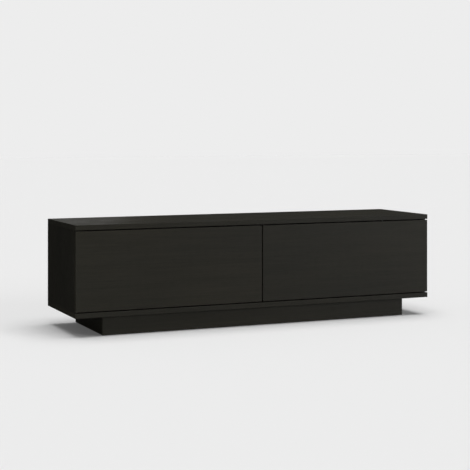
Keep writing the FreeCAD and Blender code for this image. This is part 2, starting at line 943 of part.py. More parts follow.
wide_panel("bottom_panel", "body_base", "upper")
wide_panel("top_panel", "bay_ceiling", "lower")
upright("left_side_panel", "-half_width", ["right"])
upright("centre_divider", "-board / 2", ["left", "right"])
upright("right_side_panel", "half_width - board", ["left"])
for side, start in BAYS.items():
    finished(
        plank(
            f"{side}_back_panel",
            f"{start} - tongue",
            "back_face",
            "bay_floor - tongue",
            "bay_width + 2 * tongue",
            "back_board",
            "bay_height + 2 * tongue",
        )
    )

# ---- plinth ----


def plinth_plank(name, x, y, size_x, size_y):
    blank = plank(name, x, y, "foot_gap", size_x, size_y, "plinth_height")
    round_edges(blank, "edge_round")
    return drilled(name, blank, carcass_bores)


plinth_plank("plinth_front_board", "-plinth_half", "plinth_front", "2 * plinth_half", "plinth_board")
plinth_plank(
    "plinth_back_board", "-plinth_half", "plinth_back - plinth_board", "2 * plinth_half", "plinth_board"
)
RAIL_START = "plinth_front + plinth_board"
plinth_plank("plinth_left_board", "-plinth_half", RAIL_START, "plinth_board", "plinth_rail")
plinth_plank("plinth_right_board", "plinth_half - plinth_board", RAIL_START, "plinth_board", "plinth_rail")
plinth_plank("plinth_cross_rail", "-plinth_board / 2", RAIL_START, "plinth_board", "plinth_rail")

block = new_body("block")
block_outline = new_sketch(block, "XY_Plane")
rectangle(block_outline, "-block_width / 2", "-block_width / 2", "block_width / 2", "block_width / 2")
pad(block, block_outline, "block_height")
drilled("plinth_corner_blocks", copies("blocks", block, foot_centres), carcass_bores)

FOOT_NAMES = ("front_left_foot", "front_right_foot", "back_left_foot", "back_right_foot")
for name, (x, y) in zip(FOOT_NAMES, block_spots()):
    finished(copies(name, foot, [(x, y, 0, "+z")]))

# ---- slides and latches in each bay ----

HANDS = ("left", "right")
latch_spots = []
for side in BAYS:
    rail_spots = [in_bay(side, hand, "slide_front", "slide_axis") for hand in HANDS]
    cage_spots = [in_bay(side, hand, "cage_front", "slide_axis") for hand in HANDS]
    drilled(f"{side}_bay_outer_rails", copies(f"{side}_outer_rails", outer_rail, rail_spots), carcass_bores)
    finished(copies(f"{side}_bay_middle_rails", middle_rail, rail_spots))
    finished(copies(f"{side}_bay_outer_ball_cages", outer_cage, cage_spots))
    finished(copies(f"{side}_bay_inner_ball_cages", inner_cage, cage_spots))

    latch_spots += [in_bay(side, hand, "latch_front", "latch_axis") for hand in HANDS]
    centres = (
        f"{BAYS[side]} + latch_width / 2",
        f"{BAYS[side]} + bay_width - latch_width / 2",
    )
    plunger_spots = [(x, "latch_front", "latch_axis", "+y") for x in centres]
    spring_spots = [(x, "latch_front + plunger_guide + spring_wire / 2", "latch_axis", "+y") for x in centres]
    finished(copies(f"{side}_latch_plungers", plunger, plunger_spots))
    finished(copies(f"{side}_latch_springs", spring, spring_spots))
drilled("latch_housings", copies("housings", latch_housing, latch_spots), carcass_bores)

# ---- drawers ----


def box_board(name, x, y, size_x, size_y):
    """A wall of the drawer box, its upper edges rounded."""
    blank = plank(name, x, y, "box_base", size_x, size_y, "box_height")
    top = value("box_height")
    long_way = 0 if value(size_x) > value(size_y) else 1
    thickness = min(value(size_x), value(size_y))

    def upper_long_edge(middle):
        across = middle.y if long_way == 0 else middle.x
        on_a_face = abs(across) < SAME or abs(across - thickness) < SAME
        return abs(middle.z - top) < SAME and on_a_face

    round_edges(blank, "drawer_round", upper_long_edge)
    return blank


def base_groove(blank, plane, offset, length, with_normal):
    """The groove that holds the drawer's base, along a wall's inner face."""
    sketch = new_sketch(blank, plane, offset)
    low = "drawer_base_lift - drawer_groove_play"
    high = "drawer_base_lift + drawer_base_board + drawer_groove_play"
    rectangle(sketch, 0, low, length, high)
    pocket(blank, sketch, "drawer_groove_depth", with_normal)


def drawer(side):
    start = BAYS[side]
    name = f"{side}_drawer"
    box_left = f"({start} + slide_thickness)"
    small_spots = drawer_screw_spots(side)
    box_spots = box_screw_spots(side)
    front_spots = front_screw_spots(side)
    bores = together(
        f"{name}_bores",
        [
            copies(f"{name}_small_holes", small_screw_hole, small_spots),
            copies(f"{name}_box_holes", box_screw_hole, box_spots),
            copies(f"{name}_front_holes", front_screw_hole, front_spots),
        ],
    )

    front_x = "end_inset - half_width" if side == "left" else "reveal / 2"
    front = plank(
        f"{name}_front",
        front_x,
        "-half_depth",
        "bay_floor + reveal",
        "front_width",
        "front_board",
        "front_height",
    )
    round_edges(front, "edge_round")
    drilled(f"{name}_front", front, bores)

    for hand, x in (("left", box_left), ("right", f"{box_left} + box_width - drawer_board")):
        wall = box_board(f"{name}_{hand}_side", x, "front_back_face", "drawer_board", "box_length")
        inner_face = "drawer_board" if hand == "left" else 0
        base_groove(wall, "YZ_Plane", inner_face, "box_length", with_normal=hand == "right")
        drilled(f"{name}_{hand}_side", wall, bores)

    inner_x = f"{box_left} + drawer_board"
    inner_front = box_board(
        f"{name}_inner_front", inner_x, "front_back_face", "box_inner_width", "drawer_board"
    )
    base_groove(inner_front, "XZ_Plane", "-drawer_board", "box_inner_width", with_normal=True)
    drilled(f"{name}_inner_front", inner_front, bores)
    back = box_board(f"{name}_back", inner_x, "box_rear - drawer_board", "box_inner_width", "drawer_board")
    base_groove(back, "XZ_Plane", 0, "box_inner_width", with_normal=False)
    drilled(f"{name}_back", back, bores)
    finished(
        plank(
            f"{name}_base",
            f"{inner_x} - box_tongue",
            "front_back_face + drawer_board - box_tongue",
            "box_base + drawer_base_lift",
            "box_inner_width + 2 * box_tongue",
            "box_length - 2 * drawer_board + 2 * box_tongue",
            "drawer_base_board",
        )
    )

    finished(copies(f"{name}_box_screws", box_screw, box_spots))
    finished(copies(f"{name}_front_screws", front_screw, front_spots))
    finished(copies(f"{name}_rail_screws", small_screw, small_spots))
    rail_spots = [in_bay(side, hand, "slide_front", "slide_axis") for hand in HANDS]
    drilled(f"{name}_rails", copies(f"{name}_rail_pair", drawer_rail, rail_spots), bores)
    striker_spots = [in_bay(side, hand, "striker_back", "latch_axis") for hand in HANDS]
    drilled(f"{name}_strikers", copies(f"{name}_striker_pair", striker, striker_spots), bores)


for side in BAYS:
    drawer(side)

# ---- check and write ----

doc.recompute()
failed = [o.Label for o in doc.Objects if {"Invalid", "Error"} & set(o.State)]
if failed:
    raise RuntimeError(f"these objects failed: {failed}")
labels = [part.Label for part in subparts]
if len(set(labels)) != len(labels) or len(labels) > MOST_PARTS:
    raise RuntimeError(f"{len(labels)} sub-parts, or two with one name")
for part in subparts:
    if part.Shape.isNull() or not part.Shape.isValid() or not part.Shape.Solids:
        raise RuntimeError(f"{part.Label} has no valid solid")
os.makedirs("parts", exist_ok=True)
for part in subparts:
    part.Shape.exportStep(f"parts/{part.Label}.step")
print(f"{len(subparts)} sub-parts, {sum(len(part.Shape.Solids) for part in subparts)} solids")
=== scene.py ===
import json
import math

import bmesh
import bpy
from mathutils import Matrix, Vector


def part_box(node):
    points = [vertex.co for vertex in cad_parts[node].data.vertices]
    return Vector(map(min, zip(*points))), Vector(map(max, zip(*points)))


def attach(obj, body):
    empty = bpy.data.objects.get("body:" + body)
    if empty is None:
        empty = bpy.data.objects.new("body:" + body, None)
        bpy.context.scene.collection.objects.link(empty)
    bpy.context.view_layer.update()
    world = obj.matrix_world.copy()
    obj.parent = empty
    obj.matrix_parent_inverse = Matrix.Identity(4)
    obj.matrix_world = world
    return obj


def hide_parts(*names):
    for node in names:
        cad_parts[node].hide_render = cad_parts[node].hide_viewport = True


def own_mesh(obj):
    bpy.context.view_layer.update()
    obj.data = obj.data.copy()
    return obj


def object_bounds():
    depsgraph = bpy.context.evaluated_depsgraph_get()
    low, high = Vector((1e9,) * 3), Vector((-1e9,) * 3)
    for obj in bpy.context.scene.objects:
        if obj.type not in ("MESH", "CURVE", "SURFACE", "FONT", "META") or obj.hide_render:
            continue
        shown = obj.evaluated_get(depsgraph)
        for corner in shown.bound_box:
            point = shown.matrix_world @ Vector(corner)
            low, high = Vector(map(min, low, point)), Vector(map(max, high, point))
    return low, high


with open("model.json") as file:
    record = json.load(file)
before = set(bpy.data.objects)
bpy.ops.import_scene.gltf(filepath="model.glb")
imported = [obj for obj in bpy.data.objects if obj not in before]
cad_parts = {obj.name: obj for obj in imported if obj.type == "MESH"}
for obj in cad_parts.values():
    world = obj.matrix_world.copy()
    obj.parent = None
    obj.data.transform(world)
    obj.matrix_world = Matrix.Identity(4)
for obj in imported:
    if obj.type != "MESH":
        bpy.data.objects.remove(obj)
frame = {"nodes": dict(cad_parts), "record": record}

# A low dresser in near-black wood, its two wide drawers side by side on a recessed plinth.
# Metres, +Z up. The drawers open towards -Y.

cadLow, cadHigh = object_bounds()
nodes = frame["nodes"]
print("frame loaded:", len(nodes), "nodes")


# Helpers for node trees, shader and geometry alike

class Tree:
    # a value may be a number, a colour or another node's socket
    def __init__(self, nodeTree):
        self.tree = nodeTree

    def add(self, kind, outputName=None, inputs=None, **settings):
        node = self.tree.nodes.new(kind)
        for key, value in settings.items():
            setattr(node, key, value)
        for key, value in (inputs or {}).items():
            self.put(node.inputs[key], value)
        return node.outputs[outputName] if outputName is not None else node

    def put(self, socket, value):
        if isinstance(value, bpy.types.NodeSocket):
            self.tree.links.new(value, socket)
        else:
            socket.default_value = value

    def math(self, operation, a, b=0.0, clamp=False):
        return self.add("ShaderNodeMath", 0, {0: a, 1: b}, operation=operation, use_clamp=clamp)

    def scaled(self, vector, by):
        return self.add("ShaderNodeVectorMath", 0, {0: vector, 1: by}, operation="MULTIPLY")

    def moved(self, vector, by):
        return self.add("ShaderNodeVectorMath", 0, {0: vector, 1: by}, operation="ADD")

    def parts(self, vector):
        return self.add("ShaderNodeSeparateXYZ", inputs={0: vector}).outputs

    def vector(self, x, y, z):
        return self.add("ShaderNodeCombineXYZ", 0, {0: x, 1: y, 2: z})

    def noise(self, vector, scale, detail=2.0, roughness=0.5, distortion=0.0):
        values = {"Vector": vector, "Scale": scale, "Detail": detail, "Roughness": roughness}
        values["Distortion"] = distortion
        return self.add("ShaderNodeTexNoise", "Fac", values)

    def ramp(self, value, low, high, toLow=0.0, toHigh=1.0, smooth=True):
        values = {"Value": value, "From Min": low, "From Max": high, "To Min": toLow, "To Max": toHigh}
        kind = "SMOOTHSTEP" if smooth else "LINEAR"
        return self.add("ShaderNodeMapRange", "Result", values, interpolation_type=kind)

    def blend(self, amount, a, b, blendType="MIX"):
        mix = self.add("ShaderNodeMix", data_type="RGBA", blend_type=blendType)
        self.put(mix.inputs[0], amount)
        self.put(mix.inputs[6], a)
        self.put(mix.inputs[7], b)
        return mix.outputs[2]

    def either(self, choice, a, b):
        # vector a where choice is 0, b where it is 1
        mix = self.add("ShaderNodeMix", data_type="VECTOR")
        self.put(mix.inputs[0], choice)
        self.put(mix.inputs[4], a)
        self.put(mix.inputs[5], b)
        return mix.outputs[1]

    def group(self, shared, values):
        node = self.add("ShaderNodeGroup", node_tree=shared)
        for key in values:
            self.put(node.inputs[key], values[key])
        return node.outputs

    def relief(self, shader, look, height):
        values = {"Strength": look["bump"], "Distance": look["reliefDepth"], "Height": height}
        self.put(shader.inputs["Normal"], self.add("ShaderNodeBump", "Normal", values))


def newGroup(name, kind, inputs, outputs):
    group = bpy.data.node_groups.new(name, kind)
    for socketName, socketKind, value in inputs:
        socket = group.interface.new_socket(socketName, in_out="INPUT", socket_type=socketKind)
        if value is not None:
            socket.default_value = value
    for socketName, socketKind in outputs:
        group.interface.new_socket(socketName, in_out="OUTPUT", socket_type=socketKind)
    tree = Tree(group)
    return group, tree, tree.add("NodeGroupInput").outputs, tree.add("NodeGroupOutput").inputs


def colour(r, g, b):
    return (r, g, b, 1.0)


def grey(level):
    return colour(level, level, level)


def newMaterial(name):
    material = bpy.data.materials.new(name)
    material.use_nodes = True
    return material, Tree(material.node_tree), material.node_tree.nodes["Principled BSDF"]


def dress(node, material):
    piece = nodes[node]
    piece.data.materials.clear()
    piece.data.materials.append(material)


# Surface effects that several finishes share

veneerFigure = {
    "endFacing": 0.6,               # how squarely a face looks along the board to be its end
    "waver": (1.6, 7.0, 7.0),       # repeats in a metre, along and across the grain
    "waverDepth": 0.05,
    "bandStretch": 0.045,           # growth bands are this much slower along the grain
    "bandContrast": (0.3, 0.7),
    "streakLength": 0.22,
    "streakContrast": (0.35, 0.68),
    "poreContrast": (0.56, 0.72),
    "tone": (1.3, 4.0, 4.0),
    "toneContrast": (0.3, 0.7),
}


def makeGrainGroup():
    # straight-grained veneer: wide growth bands, fine streaks, short open pores and a slow change of tone
    group, tree, given, result = newGroup(
        "veneerGrain", "ShaderNodeTree",
        [
            ("Upright", "NodeSocketFloat", 0.0),        # 1 where the grain stands, 0 where it lies
            ("Shift", "NodeSocketVector", (0, 0, 0)),   # takes another cut of the same veneer
            ("Band Width", "NodeSocketFloat", 0.02),
            ("Streak Width", "NodeSocketFloat", 0.002),
            ("Pore Width", "NodeSocketFloat", 0.0006),
            ("Pore Length", "NodeSocketFloat", 0.03),
        ],
        [("Bands", "NodeSocketFloat"), ("Streaks", "NodeSocketFloat"), ("Pores", "NodeSocketFloat"),
         ("Tone", "NodeSocketFloat"), ("End Edge", "NodeSocketFloat")],
    )
    # the object's own coordinates are turned so that the grain runs along X, on faces and on edge banding
    coords = tree.add("ShaderNodeTexCoord").outputs
    x, y, z = tree.parts(coords["Object"])
    facing = tree.parts(coords["Normal"])
    onEnd = tree.math("GREATER_THAN", tree.math("ABSOLUTE", facing[0]), veneerFigure["endFacing"])
    onTop = tree.math("GREATER_THAN", tree.math("ABSOLUTE", facing[2]), veneerFigure["endFacing"])
    alongY = tree.vector(y, x, z)
    lying = tree.either(onEnd, tree.vector(x, y, z), alongY)
    standing = tree.either(onTop, tree.vector(z, x, y), alongY)
    place = tree.moved(tree.either(given["Upright"], lying, standing), given["Shift"])
    tree.put(result["End Edge"], onEnd)

    def stretched(length, width):
        # noise drawn out along the grain
        along = tree.math("DIVIDE", 1.0, length)
        across = tree.math("DIVIDE", 1.0, width)
        return tree.scaled(place, tree.vector(along, across, across))

    waver = tree.noise(tree.scaled(place, veneerFigure["waver"]), 1.0, 3.0)
    u, v, w = tree.parts(place)
    drawnOut = tree.math("MULTIPLY", u, veneerFigure["bandStretch"])
    wavered = tree.math("ADD", w, tree.math("MULTIPLY", waver, veneerFigure["waverDepth"]))
    bent = tree.vector(drawnOut, v, wavered)
    perBand = tree.math("DIVIDE", 1.0, given["Band Width"])
    bands = tree.noise(tree.scaled(bent, tree.vector(perBand, perBand, perBand)), 1.0, 4.0, 0.62)
    tree.put(result["Bands"], tree.ramp(bands, *veneerFigure["bandContrast"]))
    streaks = tree.noise(stretched(veneerFigure["streakLength"], given["Streak Width"]), 1.0, 3.0, 0.6)
    tree.put(result["Streaks"], tree.ramp(streaks, *veneerFigure["streakContrast"]))
    pores = tree.noise(stretched(given["Pore Length"], given["Pore Width"]), 1.0, 1.0)
    tree.put(result["Pores"], tree.ramp(pores, *veneerFigure["poreContrast"]))
    tone = tree.noise(tree.scaled(place, veneerFigure["tone"]), 1.0, 2.0)
    tree.put(result["Tone"], tree.ramp(tone, *veneerFigure["toneContrast"]))
    return group


wearFigure = {
    "turns": ((0.3, 0.2, 0.9), (-0.5, 0.4, 0.35)),
    "scratchStretch": 0.06,
    "scratchContrast": (0.66, 0.74),
    "patchContrast": (0.38, 0.66),
}


def makeWearGroup():
    # fine scratches that cross at two angles, and thin dust in soft patches
    group, tree, given, result = newGroup(
        "handlingWear", "ShaderNodeTree",
        [("Scratch Spacing", "NodeSocketFloat", 0.004), ("Patch Size", "NodeSocketFloat", 0.08)],
        [("Scratches", "NodeSocketFloat"), ("Patches", "NodeSocketFloat")],
    )
    place = tree.add("ShaderNodeTexCoord", "Object")
    marks = []
    for turn in wearFigure["turns"]:
        turned = tree.add("ShaderNodeMapping", 0, {"Vector": place, "Rotation": turn})
        spacing = tree.math("DIVIDE", 1.0, given["Scratch Spacing"])
        far = tree.math("MULTIPLY", spacing, wearFigure["scratchStretch"])
        lines = tree.noise(tree.scaled(turned, tree.vector(far, spacing, spacing)), 1.0, 2.0, 0.6, 0.4)
        marks.append(tree.ramp(lines, *wearFigure["scratchContrast"]))
    tree.put(result["Scratches"], tree.math("MAXIMUM", marks[0], marks[1]))
    perPatch = tree.math("DIVIDE", 1.0, given["Patch Size"])
    patches = tree.noise(tree.scaled(place, tree.vector(perPatch, perPatch, perPatch)), 1.0, 4.0, 0.6)
    tree.put(result["Patches"], tree.ramp(patches, *wearFigure["patchContrast"]))
    return group


skinFigure = {
    "pebbleShare": 0.7,
    "gritShare": 0.5,
    "flow": (90, 40, 60),           # repeats in a metre
    "flowContrast": (0.3, 0.7),
}


def makeMouldGroup():
    # the even, pebbled skin of spark-eroded moulds and of cast metal
    group, tree, given, result = newGroup(
        "mouldedSkin", "ShaderNodeTree",
        [("Pebble Size", "NodeSocketFloat", 0.0004)],
        [("Pebbles", "NodeSocketFloat"), ("Flow", "NodeSocketFloat")],
    )
    place = tree.add("ShaderNodeTexCoord", "Object")
    perPebble = tree.math("DIVIDE", 1.0, given["Pebble Size"])
    small = tree.scaled(place, tree.vector(perPebble, perPebble, perPebble))
    cells = tree.add("ShaderNodeTexVoronoi", "Distance", {"Vector": small, "Scale": 1.0, "Randomness": 1.0},
                     feature="SMOOTH_F1")
    grit = tree.noise(small, 1.7, 2.0)
    pebbles = tree.math("MULTIPLY", cells, skinFigure["pebbleShare"])
    gritted = tree.math("MULTIPLY", grit, skinFigure["gritShare"])
    tree.put(result["Pebbles"], tree.math("ADD", pebbles, gritted))
    flow = tree.noise(tree.scaled(place, skinFigure["flow"]), 1.0, 2.0, 0.5, 0.8)
    tree.put(result["Flow"], tree.ramp(flow, *skinFigure["flowContrast"]))
    return group


veneerGrain = makeGrainGroup()
handlingWear = makeWearGroup()
mouldedSkin = makeMouldGroup()


# Finishes

def wornBy(tree, look):
    values = {"Scratch Spacing": look["scratchSpacing"], "Patch Size": look["patchSize"]}
    return tree.group(handlingWear, values)


def woodFinish(name, look, upright=0.0, shift=(0, 0, 0)):
    # bands and streaks of stain, open pores darker and a little deeper, and a dulled bloom in patches
    material, tree, shader = newMaterial(name)
    keys = ("Band Width", "Streak Width", "Pore Width", "Pore Length")
    grain = tree.group(veneerGrain, {"Upright": upright, "Shift": shift, **{key: look[key] for key in keys}})
    wear = wornBy(tree, look)
    figure = tree.math("ADD", tree.math("MULTIPLY", grain["Bands"], look["bandShare"]),
                       tree.math("MULTIPLY", grain["Streaks"], 1 - look["bandShare"]))
    stained = tree.blend(figure, look["dark"], look["light"])
    toned = tree.blend(grain["Tone"], stained, tree.blend(1.0, stained, look["tone"], "MULTIPLY"))
    banded = tree.blend(grain["End Edge"], toned, tree.blend(1.0, toned, look["endEdge"], "MULTIPLY"))
    poreAmount = tree.math("MULTIPLY", grain["Pores"], look["poreStrength"])
    withPores = tree.blend(poreAmount, banded, look["pore"])
    scratches = tree.math("MULTIPLY", wear["Scratches"], look["scratchStrength"])
    tree.put(shader.inputs["Base Color"], tree.blend(scratches, withPores, look["rubbed"]))
    sheen = tree.ramp(wear["Patches"], 0, 1, look["roughness"], look["roughness"] + look["bloom"])
    poreDulling = tree.ramp(grain["Pores"], 0, 1, 0.0, look["poreRoughness"])
    tree.put(shader.inputs["Roughness"], tree.math("ADD", sheen, poreDulling, clamp=True))
    shader.inputs["Specular IOR Level"].default_value = look["specular"]
    raised = tree.math("MULTIPLY", figure, look["figureRelief"])
    sunk = tree.math("MULTIPLY", grain["Pores"], -1.0)
    tree.relief(shader, look, tree.math("ADD", raised, sunk))
    return material


def metalFinish(name, look):
    # plating or bare metal: a drawn or rolled direction, cloudy tint, fine scratches
    material, tree, shader = newMaterial(name)
    wear = wornBy(tree, look)
    skin = tree.group(mouldedSkin, {"Pebble Size": look["pebbleSize"]})
    clouded = tree.blend(wear["Patches"], look["base"], look["cloud"])
    scratches = tree.math("MULTIPLY", wear["Scratches"], look["scratchStrength"])
    tree.put(shader.inputs["Base Color"], tree.blend(scratches, clouded, look["bright"]))
    shader.inputs["Metallic"].default_value = 1.0
    dull = tree.ramp(wear["Patches"], 0, 1, look["roughness"], look["roughness"] + look["dullness"])
    polished = tree.math("MULTIPLY", wear["Scratches"], look["scratchPolish"])
    tree.put(shader.inputs["Roughness"], tree.math("ADD", dull, polished))
    pebbles = tree.math("MULTIPLY", skin["Pebbles"], look["pebbleDepth"])
    tree.relief(shader, look, tree.math("SUBTRACT", pebbles, wear["Scratches"]))
    return material


def plasticFinish(name, look):
    # moulded plastic: pebbled skin, faint flow marks, dust caught in patches
    material, tree, shader = newMaterial(name)
    skin = tree.group(mouldedSkin, {"Pebble Size": look["pebbleSize"]})
    wear = wornBy(tree, look)
    flowing = tree.blend(skin["Flow"], look["base"], look["flow"])
    dusty = tree.blend(tree.math("MULTIPLY", wear["Patches"], look["dustStrength"]), flowing, look["dust"])
    scratches = tree.math("MULTIPLY", wear["Scratches"], look["scratchStrength"])
    tree.put(shader.inputs["Base Color"], tree.blend(scratches, dusty, look["dust"]))
    dullest = look["roughness"] + look["dullness"]
    tree.put(shader.inputs["Roughness"], tree.ramp(skin["Pebbles"], 0.1, 0.9, look["roughness"], dullest))
    shader.inputs["Specular IOR Level"].default_value = look["specular"]
    tree.relief(shader, look, skin["Pebbles"])
    return material


# Carcass, fronts and plinth, in near-black veneer

blackWood = {
    "dark": colour(0.0205, 0.0197, 0.0150),
    "light": colour(0.0268, 0.0256, 0.0195),
    "tone": colour(1.16, 1.12, 1.06),
    "endEdge": colour(1.25, 1.25, 1.25),     # end grain and banding on the short edges take less stain
    "pore": colour(0.011, 0.0105, 0.0085),
    "rubbed": colour(0.045, 0.043, 0.036),
    "bandShare": 0.45,
    "poreStrength": 0.4,
    "scratchStrength": 0.05,
    "scratchSpacing": 0.02,
    "patchSize": 0.12,
    "Band Width": 0.02,
    "Streak Width": 0.003,
    "Pore Width": 0.0007,
    "Pore Length": 0.035,
    "roughness": 0.43,
    "poreRoughness": 0.25,
    "bloom": 0.06,
    "specular": 0.15,
    "bump": 0.22,
    "figureRelief": 0.3,
    "reliefDepth": 0.0002,
}

lyingBoards = ["top_panel", "bottom_panel", "left_drawer_front", "right_drawer_front", "plinth_front_board",
               "plinth_back_board", "plinth_cross_rail"]
standingBoards = ["left_side_panel", "right_side_panel", "centre_divider"]

for number, node in enumerate(lyingBoards + standingBoards):
    shift = (0.37 * number, 0.11 * number, 0.23 * number)
    look = dict(blackWood)
    if node in standingBoards:
        look["endEdge"] = colour(1, 1, 1)
    dress(node, woodFinish(f"blackWood_{node}", look, float(node in standingBoards), shift))
plinthSides = woodFinish("blackWood_plinthSides", {**blackWood, "endEdge": colour(1, 1, 1)})
for node in ("plinth_left_board", "plinth_right_board"):
    dress(node, plinthSides)
print("boards dressed")


# Backs, drawer boxes and hidden framing

backBoard = {
    **blackWood,
    "dark": colour(0.020, 0.018, 0.015),
    "light": colour(0.028, 0.025, 0.021),
    "endEdge": colour(1, 1, 1),
    "bandShare": 0.2,
    "Streak Width": 0.0012,
    "Pore Width": 0.0012,
    "Pore Length": 0.006,
    "roughness": 0.62,
    "specular": 0.2,
    "bump": 0.15,
}

boxFoil = {
    **blackWood,
    "dark": colour(0.046, 0.034, 0.024),
    "light": colour(0.078, 0.058, 0.041),
    "tone": colour(1.12, 1.08, 1.04),
    "endEdge": colour(1, 1, 1),
    "pore": colour(0.022, 0.016, 0.011),
    "rubbed": colour(0.12, 0.10, 0.08),
    "bandShare": 0.55,
    "poreStrength": 0.5,
    "Band Width": 0.028,
    "roughness": 0.5,
    "specular": 0.3,
}

framingWood = {
    **blackWood,
    "dark": colour(0.050, 0.038, 0.028),
    "light": colour(0.125, 0.098, 0.072),
    "tone": colour(1.15, 1.08, 1.0),
    "endEdge": colour(0.75, 0.72, 0.7),
    "pore": colour(0.03, 0.022, 0.016),
    "bandShare": 0.8,
    "Band Width": 0.006,
    "roughness": 0.7,
    "bump": 0.5,
}

beech = {
    **blackWood,
    "dark": colour(0.44, 0.31, 0.19),
    "light": colour(0.60, 0.46, 0.31),
    "tone": colour(1.06, 1.0, 0.94),
    "endEdge": colour(0.85, 0.8, 0.76),
    "pore": colour(0.26, 0.16, 0.09),
    "rubbed": colour(0.66, 0.54, 0.4),
    "bandShare": 0.3,
    "Band Width": 0.008,
    "Streak Width": 0.001,
    "Pore Width": 0.0004,
    "Pore Length": 0.0025,
    "roughness": 0.6,
    "specular": 0.3,
}

backFinish = woodFinish("backBoard", backBoard, 1.0)
foilLying = woodFinish("boxFoil_lying", boxFoil)
foilSide = woodFinish("boxFoil_side", boxFoil, shift=(0.4, 0.2, 0.1))
for node in ("left_back_panel", "right_back_panel"):
    dress(node, backFinish)
for side in ("left", "right"):
    for part in ("inner_front", "back", "base"):
        dress(f"{side}_drawer_{part}", foilLying)
    for part in ("left_side", "right_side"):
        dress(f"{side}_drawer_{part}", foilSide)
dress("plinth_corner_blocks", woodFinish("framingWood", framingWood, 1.0))
dress("dowels", woodFinish("beech", beech))
print("boxes, backs and framing dressed")


# Metal and plastic

zincPlate = {
    "base": colour(0.60, 0.62, 0.64),
    "cloud": colour(0.53, 0.55, 0.56),
    "bright": colour(0.82, 0.83, 0.84),
    "scratchSpacing": 0.0025,
    "scratchStrength": 0.35,
    "patchSize": 0.02,
    "pebbleSize": 0.0012,
    "pebbleDepth": 0.3,
    "roughness": 0.30,
    "dullness": 0.12,
    "scratchPolish": -0.08,
    "bump": 0.25,
    "reliefDepth": 0.0001,
}
castZinc = {
    **zincPlate,
    "base": colour(0.44, 0.45, 0.46),
    "cloud": colour(0.36, 0.37, 0.38),
    "scratchStrength": 0.15,
    "patchSize": 0.006,
    "pebbleSize": 0.0005,
    "pebbleDepth": 1.0,
    "roughness": 0.45,
}
springSteel = {
    **zincPlate,
    "base": colour(0.38, 0.38, 0.39),
    "cloud": colour(0.30, 0.30, 0.31),
    "patchSize": 0.004,
}
blackPlastic = {
    "base": colour(0.020, 0.020, 0.021),
    "flow": colour(0.026, 0.026, 0.027),
    "dust": colour(0.075, 0.072, 0.068),
    "dustStrength": 0.12,
    "scratchSpacing": 0.006,
    "scratchStrength": 0.3,
    "patchSize": 0.03,
    "pebbleSize": 0.0005,
    "roughness": 0.42,
    "dullness": 0.15,
    "specular": 0.4,
    "bump": 0.35,
    "reliefDepth": 0.0001,
}
lightPlastic = {
    **blackPlastic,
    "base": colour(0.42, 0.42, 0.42),
    "flow": colour(0.46, 0.46, 0.45),
    "dust": colour(0.56, 0.54, 0.50),
    "roughness": 0.35,
    "bump": 0.15,
}

zincFinish = metalFinish("zincPlate", zincPlate)
castFinish = metalFinish("castZinc", castZinc)
springFinish = metalFinish("springSteel", springSteel)
blackMoulding = plasticFinish("blackPlastic", blackPlastic)
lightMoulding = plasticFinish("lightPlastic", lightPlastic)

slotFinish = {
    "zinc_plated_steel": zincFinish,
    "die_cast_zinc": castFinish,
    "spring_steel": springFinish,
    "black_plastic": blackMoulding,
    "light_plastic": lightMoulding,
}
for subpart in frame["record"]["subparts"]:
    if subpart["material_slot"] in slotFinish:
        dress(subpart["node"], slotFinish[subpart["material_slot"]])
print("metal and plastic dressed")


# Small parts that repeat: each tree sets one made piece on every place that the frame gives

placeFinding = {
    "mergeDistance": 1e-7,
    "headShare": 0.15,              # the share of a screw's length that tells its head from its point
    "ballLimit": 3,                 # a solid smaller than this many ball radii is a ball
}


def solidsOf(node):
    # the corners of each separate solid in a CAD node, in a settled order
    shape = bmesh.new()
    shape.from_mesh(nodes[node].data)
    bmesh.ops.remove_doubles(shape, verts=shape.verts, dist=placeFinding["mergeDistance"])
    waiting = set(shape.verts)
    solids = []
    for first in shape.verts:
        if first not in waiting:
            continue
        waiting.remove(first)
        reached = [first]
        for corner in reached:
            for edge in corner.link_edges:
                other = edge.other_vert(corner)
                if other in waiting:
                    waiting.remove(other)
                    reached.append(other)
        faces = {face for corner in reached for face in corner.link_faces}
        order = {corner: index for index, corner in enumerate(reached)}
        solids.append({
            "corners": [corner.co.copy() for corner in reached],
            "faces": sorted(tuple(order[corner] for corner in face.verts) for face in faces),
        })
    shape.free()
    for solid in solids:
        for key, pick in (("low", min), ("high", max)):
            solid[key] = Vector([pick(corner[i] for corner in solid["corners"]) for i in range(3)])
    return sorted(solids, key=lambda solid: tuple(round(c, 5) for c in solid["low"]))


def towards(axis, sign):
    way = Vector((0, 0, 0))
    way[axis] = sign
    return way


def screwPlaces(node):
    # the middle of each screw's face, and the way that it looks
    spots, ways = [], []
    for solid in solidsOf(node):
        size = solid["high"] - solid["low"]
        axis = max(range(3), key=lambda i: size[i])
        middle = (solid["low"] + solid["high"]) / 2

        def girth(end):
            reach = placeFinding["headShare"] * size[axis]
            near = [c - middle for c in solid["corners"] if abs(c[axis] - end) < reach]
            return max((c - towards(axis, c[axis])).length for c in near)

        sign = 1 if girth(solid["high"][axis]) > girth(solid["low"][axis]) else -1
        spots.append(middle + towards(axis, sign * size[axis] / 2))
        ways.append(towards(axis, sign))
    return spots, ways


def camPlaces(node):
    # each cam opens at the face of the upright that it lies in, and its arrow points at the nearer shelf
    spots, ways, leans = [], [], []
    uprights = [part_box(name) for name in standingBoards]
    middleHeight = (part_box("top_panel")[0][2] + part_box("bottom_panel")[1][2]) / 2
    for solid in solidsOf(node):
        middle = (solid["low"] + solid["high"]) / 2
        low, high = next(box for box in uprights if box[0][0] < middle.x < box[1][0])
        sign = 1 if high[0] - solid["high"].x < solid["low"].x - low[0] else -1
        spots.append(Vector((solid["high"].x if sign > 0 else solid["low"].x, middle.y, middle.z)))
        ways.append(towards(0, sign))
        leans.append(towards(2, 1 if middle.z > middleHeight else -1))
    return spots, ways, leans


